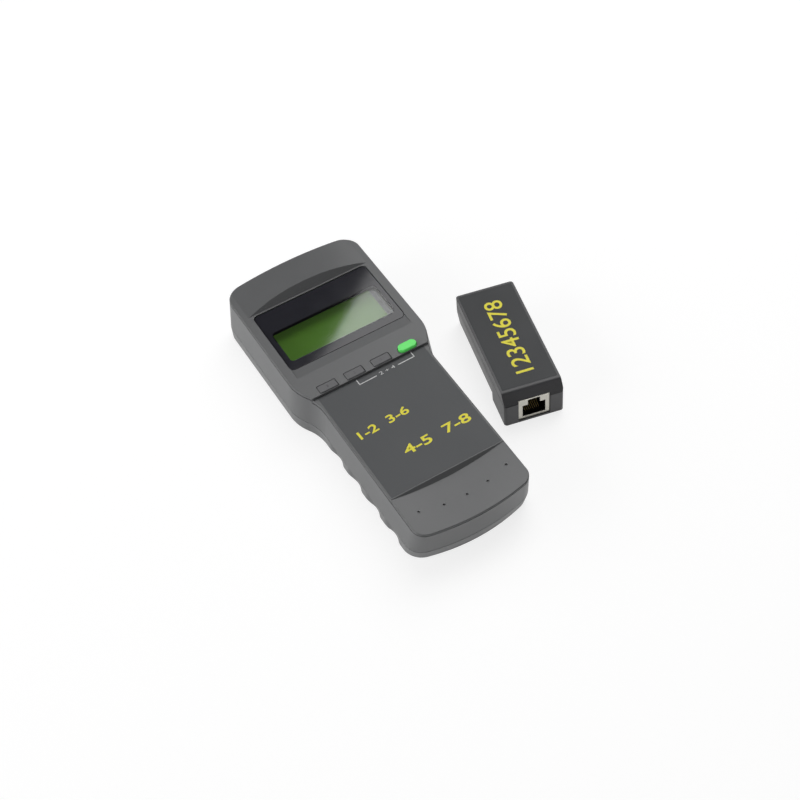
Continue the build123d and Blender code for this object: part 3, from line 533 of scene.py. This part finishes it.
@dataclass
class PrintedMark:
    """Plain numerals printed flat on a face.

    The words are set in the stock face, thickened, scaled to a width and a height, given the thickness
    of the ink and carried to their place on the face.
    """

    name: str
    words: str
    width: float
    height: float
    place: Matrix
    weight: float = 0.0
    ink: float = 0.04 * MM

    def build(self, finish: bpy.types.Material, body: str, slot: str) -> bpy.types.Object:
        """Make the mark.

        Args:
            finish: Material of the ink.
            body: Body that the mark rides on.
            slot: Material slot of the record that it belongs to; not used.

        Returns:
            The mark as a mesh at the origin.
        """
        letters = bpy.data.curves.new(self.name + "_letters", "FONT")
        letters.body = self.words
        letters.offset = self.weight
        letters.extrude = 0.5
        letters.resolution_u = 6
        carrier = bpy.data.objects.new(self.name + "_letters", letters)
        bpy.context.scene.collection.objects.link(carrier)
        bpy.context.view_layer.update()
        mesh = bpy.data.meshes.new_from_object(carrier)
        bpy.data.objects.remove(carrier)
        flat = np.empty(len(mesh.vertices) * 3, np.float32)
        mesh.vertices.foreach_get("co", flat)
        points = flat.reshape(-1, 3)
        low, high = points.min(0), points.max(0)
        scale = np.array((self.width, self.height, self.ink)) / (high - low)
        points = (points - (low + high) / 2) * scale + (0, 0, self.ink / 2)
        carried = np.c_[points, np.ones(len(points))] @ np.array(self.place).T[:, :3]
        mesh.vertices.foreach_set("co", carried.astype(np.float32).ravel())
        mesh.update()
        mesh.materials.clear()
        mesh.materials.append(finish)
        piece = bpy.data.objects.new(self.name, mesh)
        bpy.context.scene.collection.objects.link(piece)
        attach(piece, body)
        LOG.info("built %s", self.name)
        return piece


def turned(x: float, y: float, z: float, degrees: float = 0.0) -> Matrix:
    """Place on the object: a point in metres and a turn about Z."""
    return Matrix.Translation((x, y, z)) @ Matrix.Rotation(radians(degrees), 4, "Z")


# ---------------------------------------------------------------- sub-assemblies
@dataclass
class Housing:
    """Both shells, the battery door, the screws, the handle's panel and what is printed on it."""

    plastic: MouldedPlastic = MouldedPlastic("charcoal_plastic", (103, 104, 105), 0.38)
    panel: PrintedFilm = PrintedFilm("panel_film", (78, 80, 82))
    yellow: Ink = Ink("yellow_ink", (250, 238, 52))
    white: Ink = Ink("white_ink", (222, 222, 222))
    steel: Metal = Metal("screw_steel", (170, 170, 168), 0.28)
    upper_place: tuple[float, float] = (-10.9 * MM, -24.9 * MM)
    upper_size: tuple[float, float] = (28.2 * MM, 5.1 * MM)
    upper_turn: float = 3.5
    lower_place: tuple[float, float] = (7.1 * MM, -44.9 * MM)
    lower_size: tuple[float, float] = (37.0 * MM, 5.6 * MM)
    lower_turn: float = 1.8
    bracket_line: float = 0.5 * MM
    bracket_y: float = 2.0 * MM
    bracket_left: float = -8.6 * MM
    bracket_right: float = 22.8 * MM
    bracket_leg: float = 3.3 * MM
    bracket_gap: tuple[float, float] = (1.1 * MM, 13.5 * MM)
    bracket_turn: float = 1.1
    bracket_ink: float = 0.04 * MM
    bracket_words: str = "2 + 4"
    bracket_words_size: tuple[float, float] = (8.6 * MM, 1.9 * MM)
    bracket_words_lift: float = 0.3 * MM
    numbers_weight: float = 0.018

    def dress(self) -> None:
        """Give the nodes their finishes."""
        plastic = self.plastic.material()
        for node in ("front_shell", "rear_shell", "battery_door"):
            dress(node, plastic)
        dress("panel_overlay", self.panel.material())
        dress("case_screws", self.steel.material())

    def bracket(self, top: float, finish: bpy.types.Material) -> None:
        """Print the bracket under the keys as four thin bars, each a flat strip with square ends."""
        middle = (self.bracket_left + self.bracket_right) / 2
        frame = turned(middle, self.bracket_y, top, self.bracket_turn)
        half = (self.bracket_right - self.bracket_left) / 2
        gap = [edge - middle for edge in self.bracket_gap]
        line = self.bracket_line
        bars = {
            "bracket_left_line": ((-half + gap[0]) / 2, 0.0, half + gap[0], line),
            "bracket_right_line": ((half + gap[1]) / 2, 0.0, half - gap[1], line),
            "bracket_left_leg": (-half, self.bracket_leg / 2, line, self.bracket_leg + line),
            "bracket_right_leg": (half, self.bracket_leg / 2, line, self.bracket_leg + line),
        }
        for name, (x, y, width, depth) in bars.items():
            points = flat_grid(frame @ Matrix.Translation((x, y, self.bracket_ink)), width, depth)
            bar = grid_piece(name, points)
            bar.data.materials.append(finish)
            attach(bar, "tester")
        spot = frame @ Matrix.Translation((sum(gap) / 2, self.bracket_words_lift, 0))
        words = PrintedMark("bracket_numbers", self.bracket_words, *self.bracket_words_size, spot)
        words.build(finish, "tester", "panel")
        LOG.info("built bracket")

    def build(self) -> None:
        """Dress the nodes and print the marks."""
        self.dress()
        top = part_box("panel_overlay")[1].z
        yellow, white = self.yellow.material(), self.white.material()
        lines = (
            ("upper_numbers", "1-2  3-6", self.upper_place, self.upper_size, self.upper_turn),
            ("lower_numbers", "4-5  7-8", self.lower_place, self.lower_size, self.lower_turn),
        )
        for name, words, (x, y), (width, height), turn in lines:
            place = turned(x, y, top, turn)
            mark = PrintedMark(name, words, width, height, place, weight=self.numbers_weight)
            mark.build(yellow, "tester", "panel")
        self.bracket(top, white)


@dataclass
class Display:
    """Window, display, bezel, gasket, light guide and connector strips."""

    clear_low: tuple[float, float] = (-30.0 * MM, 32.4 * MM)
    clear_high: tuple[float, float] = (30.0 * MM, 54.5 * MM)
    corner: float = 2.6 * MM
    glass: DisplayGlass = DisplayGlass("display_glass")

    def build(self) -> None:
        """Dress the display's nodes."""
        low, high = self.clear_low, self.clear_high
        pane = WindowPane(
            "window_pane",
            ((low[0] + high[0]) / 2, (low[1] + high[1]) / 2),
            ((high[0] - low[0]) / 2, (high[1] - low[1]) / 2),
            self.corner,
        )
        dress("display_window", pane.material())
        dress("lcd_glass", self.glass.material())
        dress("lcd_bezel", Metal("black_bezel", (40, 41, 44), 0.45, metallic=0.3).material())
        dress("window_gasket", Foam("black_foam", (26, 26, 28)).material())
        dress("light_guide", PrintedFilm("milky_diffuser", (214, 222, 206)).material())
        dress("zebra_strips", Banded("rubber_strips", (205, 120, 150), (205, 120, 150), 0.0).material())


@dataclass
class Keypad:
    """Three grey keys, the green power key, and the switches under them."""

    grey: MouldedPlastic = MouldedPlastic("grey_key_plastic", (104, 104, 106), 0.5, edge=0.2 * MM)
    # The green key carries a painted glow: emission of 0.16 that brightens it, though it is no lamp.
    green: MouldedPlastic = MouldedPlastic(
        "green_key_plastic", (104, 240, 112), 0.38, edge=0.3 * MM, mottle=0.04, glow=0.15, lit=0.16)
    mark: Ink = Ink("key_mark", (84, 84, 86))
    mark_height: float = 1.5 * MM
    mark_slimness: float = 0.55
    mark_ink: float = 0.02 * MM

    def build(self) -> None:
        """Dress the keys and print a plain numeral on each grey one."""
        grey, mark = self.grey.material(), self.mark.material()
        for number, key in enumerate(("left_key", "second_key", "third_key"), start=1):
            dress(key, grey)
            low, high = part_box(key)
            place = turned((low.x + high.x) / 2, (low.y + high.y) / 2, high.z)
            size = (self.mark_slimness * self.mark_height, self.mark_height)
            numeral = PrintedMark(f"{key}_numeral", str(number), *size, place, ink=self.mark_ink)
            numeral.build(mark, key, "key")
        dress("power_key", self.green.material())
        plunger = MouldedPlastic("switch_plunger", (36, 36, 38), 0.4).material()
        for key in ("left_key", "second_key", "third_key", "power_key"):
            dress(key + "_plunger", plunger)
        dress("switch_bases", MouldedPlastic("switch_body", (30, 30, 32), 0.45).material())


@dataclass
class Jacks:
    """The three eight-way jacks."""

    can: Metal = Metal("tinned_can", (216, 213, 203), 0.4, metallic=0.55)
    insert: MouldedPlastic = MouldedPlastic("black_insert", (20, 19, 19), 0.4)
    contact: Metal = Metal("gold_contacts", (240, 214, 150), 0.3, (1, 0.1, 1), metallic=0.5)

    def build(self) -> None:
        """Dress cans, inserts and contacts."""
        can, insert, contact = self.can.material(), self.insert.material(), self.contact.material()
        for jack in ("main_jack", "loop_jack", "remote_jack"):
            dress(jack + "_can", can)
            dress(jack + "_housing", insert)
            dress(jack + "_contacts", contact)


@dataclass
class Boards:
    """Circuit boards and what is soldered to them."""

    board: CircuitBoard = CircuitBoard("green_board")
    moulding: MouldedPlastic = MouldedPlastic("chip_moulding", (34, 34, 36), 0.55)
    steel: Metal = Metal("board_screw_steel", (176, 176, 172), 0.3)
    capacitor_cap: float = 0.3 * MM

    def build(self) -> None:
        """Dress the boards and their parts."""
        board, moulding = self.board.material(), self.moulding.material()
        for node in ("display_board", "main_board", "remote_board"):
            dress(node, board)
        for node in ("board_chips", "board_header"):
            dress(node, moulding)
        steel = self.steel.material()
        for node in ("board_screws", "remote_screws"):
            dress(node, steel)
        dress("buzzer", MouldedPlastic("buzzer_case", (26, 26, 27), 0.4).material())
        dress("crystal", Metal("crystal_can", (190, 190, 188), 0.22, (0.1, 1, 1)).material())
        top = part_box("capacitors")[1].z
        line = top - self.capacitor_cap
        sleeve = Banded("capacitor_sleeve", (38, 52, 96), (188, 188, 188), line, 2)
        dress("capacitors", sleeve.material())
        dress("remote_resistors", Banded("resistor_body", (196, 174, 138), (196, 174, 138), 0.0).material())


@dataclass
class PowerPack:
    """Battery, its studs, snap connector, leads and pad."""

    wrap_share: float = 0.72

    def build(self) -> None:
        """Dress the battery and what touches it."""
        low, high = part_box("battery")
        line = low.y + self.wrap_share * (high.y - low.y)
        dress("battery", Banded("battery_wrap", (34, 36, 40), (196, 140, 72), line, metallic=0.5).material())
        dress("battery_terminals", Metal("stud_nickel", (200, 198, 190), 0.22).material())
        dress("battery_snap", MouldedPlastic("snap_vinyl", (28, 28, 30), 0.55).material())
        dress("battery_leads", Banded("lead_sheath", (190, 32, 26), (26, 26, 28), 0.0, 0).material())
        dress("battery_pad", Foam("grey_foam", (70, 70, 72)).material())


@dataclass
class Remote:
    """The loose remote: two shells, a label with plain numbers, and its jack."""

    place: tuple[float, float] = (69.9 * MM, -10.35 * MM)
    turn: float = -13.2
    plastic: MouldedPlastic = MouldedPlastic("remote_plastic", (72, 72, 74), 0.42)
    label: PrintedFilm = PrintedFilm("remote_label_film", (34, 37, 40), 0.5)
    yellow: Ink = Ink("remote_yellow_ink", (250, 238, 56))
    words: str = "12345678"
    words_size: tuple[float, float] = (50.0 * MM, 9.5 * MM)
    words_at: tuple[float, float] = (0.5 * MM, 2.0 * MM)
    label_run: tuple[float, float] = (-30.6 * MM, 35.7 * MM)
    label_thickness: float = 0.3 * MM
    numbers_weight: float = 0.006

    def build(self) -> None:
        """Dress the shells and print the numbers along the label."""
        plastic = self.plastic.material()
        dress("remote_upper_shell", plastic)
        dress("remote_lower_shell", plastic)
        dress("remote_label", self.label.material())
        low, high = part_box("remote_label")
        front, back = self.label_run
        fall = (high.z - low.z - self.label_thickness) / (back - front)
        home = turned(*self.place, high.z + fall * front, self.turn)
        lean = Matrix.Rotation(-atan(fall), 4, "X")
        spot = Matrix.Translation((*self.words_at, 0)) @ Matrix.Rotation(pi / 2, 4, "Z")
        place = home @ lean @ spot
        mark = PrintedMark(
            "remote_numbers", self.words, *self.words_size, place, weight=self.numbers_weight)
        mark.build(self.yellow.material(), "remote", "panel")


# ---------------------------------------------------------------- studio
@dataclass(frozen=True)
class Lamp:
    """A rectangular soft lamp: what it is for, its centre, its two sides and the brightness of its face."""

    role: Role
    place: tuple[float, float, float]
    size: tuple[float, float]
    radiance: float


@dataclass
class Studio:
    """Pale floor, soft lights and camera."""

    target: Vector = field(default_factory=lambda: Vector((7.45, -8.04, 12.0)) * MM)
    distance: float = 0.79024
    azimuth: float = -25.98
    elevation: float = 51.19
    roll: float = -6.14
    lens: float = 72.0
    floor_size: float = 60.0
    sky: float = 0.04
    softbox_distance: float = 1.3
    softbox_size: tuple[float, float] = (1.5, 1.0)
    softbox_glow: float = 2.8
    edge_points: tuple[tuple[float, float], tuple[float, float]] = (
        (22.0 * MM, 54.6 * MM), (-10.1 * MM, 30.8 * MM))
    lamp_aim: tuple[float, float, float] = (0.0, 0.0, 0.02)
    lamps: tuple[Lamp, ...] = (
        Lamp(Role.SIDE, (-1.5, 0.2, 0.6), (1.2, 0.8), 3.6),
        Lamp(Role.BACK, (-1.1, 1.2, 0.7), (1.2, 0.8), 1.6),
        Lamp(Role.FRONT, (-0.5, -1.6, 0.3), (1.4, 0.5), 1.6),
    )

    def axes(self) -> tuple[Vector, Vector, Vector]:
        """Right, up and back directions of the camera."""
        around, above, roll = radians(self.azimuth), radians(self.elevation), radians(self.roll)
        back = Vector((sin(around) * cos(above), -cos(around) * cos(above), sin(above)))
        level = Vector((cos(around), sin(around), 0.0))
        lift = back.cross(level)
        return level * cos(roll) + lift * sin(roll), lift * cos(roll) - level * sin(roll), back

    def camera(self) -> None:
        """Make the camera and set it as the scene's."""
        data = bpy.data.cameras.new("camera")
        data.lens = self.lens
        data.sensor_width = 36.0
        data.clip_end = 50.0
        view = bpy.data.objects.new("camera", data)
        right, up, back = self.axes()
        turn = Matrix((right, up, back)).transposed().to_4x4()
        view.matrix_world = Matrix.Translation(self.target + back * self.distance) @ turn
        bpy.context.scene.collection.objects.link(view)
        bpy.context.scene.camera = view

    def floor(self) -> None:
        """Pale floor that the lens sees as white, with a faint shadow left in it."""
        points = flat_grid(Matrix.Identity(4), self.floor_size, self.floor_size)
        floor = grid_piece("floor", points)
        shader = Shader("floor_paint")
        paint = shader.node("ShaderNodeBsdfDiffuse", inputs={"Color": (0.8, 0.8, 0.8, 1)})
        faint = shader.node("ShaderNodeBsdfDiffuse", inputs={"Color": (0.3, 0.3, 0.3, 1)})
        lit = shader.node("ShaderNodeEmission", inputs={"Color": (1, 1, 1, 1), "Strength": 0.8})
        seen = shader.node("ShaderNodeAddShader", inputs={0: faint, 1: lit})
        path = shader.node("ShaderNodeLightPath", output="Is Camera Ray")
        outputs = path.socket.node.outputs
        for ray in ("Is Glossy Ray", "Is Transmission Ray"):
            path = path.at_least(Wire(shader, outputs[ray]))
        floor.data.materials.append(shader.done(shader.node(
            "ShaderNodeMixShader", inputs={0: path, 1: paint, 2: seen})))

    def world(self) -> None:
        """Even, dim sky above the floor."""
        world = bpy.data.worlds.new("studio")
        world.use_nodes = True
        sky = world.node_tree.nodes["Background"].inputs
        sky["Color"].default_value = (1, 1, 1, 1)
        sky["Strength"].default_value = self.sky
        bpy.context.scene.world = world

    def lamp(self, role: Role, place: Vector, aim: Vector, size: tuple[float, float], radiance: float,
             along: Vector | None = None) -> None:
        """Add a rectangular soft lamp.

        Args:
            role: What the lamp is for, which names it.
            place: Its centre.
            aim: Point that it faces.
            size: Its two sides.
            radiance: Brightness of its face, where 1 is white.
            along: Direction of its first side, where that matters.
        """
        data = bpy.data.lights.new(role.value, "AREA")
        data.shape = "RECTANGLE"
        data.size, data.size_y = size
        data.energy = radiance * pi * size[0] * size[1]
        lamp = bpy.data.objects.new(role.value, data)
        back = (place - aim).normalized()
        side = (along or Vector((0, 0, 1)).cross(back)).normalized()
        lift = back.cross(side).normalized()
        turn = Matrix((lift.cross(back), lift, back)).transposed().to_4x4()
        lamp.matrix_world = Matrix.Translation(place) @ turn
        bpy.context.scene.collection.objects.link(lamp)

    def softbox(self) -> None:
        """Lamp whose mirror image ends on a slanting line across the window.

        The eye is mirrored in the pane. Its sight lines through the two ends of the slanting line span
        a plane, and the lamp's edge lies where that plane meets the lamp's own plane.
        """
        low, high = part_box("display_window")
        height = high.z
        eye = self.target + self.axes()[2] * self.distance
        mirrored = Vector((eye.x, eye.y, 2 * height - eye.z))
        ends = [Vector((x, y, height)) for x, y in self.edge_points]
        middle = (ends[0] + ends[1]) / 2
        out = (middle - mirrored).normalized()
        edge_normal = (ends[0] - mirrored).cross(ends[1] - mirrored).normalized()
        along = edge_normal.cross(out).normalized()
        away = out.cross(along).normalized()
        bright = Vector((high.x, low.y, height)) - middle
        if away.dot(bright) < 0:
            away = -away
        centre = middle + out * self.softbox_distance + away * self.softbox_size[1] / 2
        self.lamp(Role.SOFTBOX, centre, centre - out, self.softbox_size, self.softbox_glow, along)

    def build(self) -> None:
        """Set up the whole studio."""
        self.camera()
        self.floor()
        self.world()
        self.softbox()
        for lamp in self.lamps:
            self.lamp(lamp.role, Vector(lamp.place), Vector(self.lamp_aim), lamp.size, lamp.radiance)
        bpy.context.scene.view_settings.view_transform = "Standard"
        LOG.info("studio ready")


def main() -> None:
    """Load the frame and build every sub-assembly in order."""
    logging.basicConfig(level=logging.INFO, format="%(message)s")
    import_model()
    Studio().build()
    for part in (Housing(), Display(), Keypad(), Jacks(), Boards(), PowerPack(), Remote()):
        part.build()
        LOG.info("finished %s", type(part).__name__)
    bpy.context.view_layer.update()


if __name__ == "__main__":
    main()
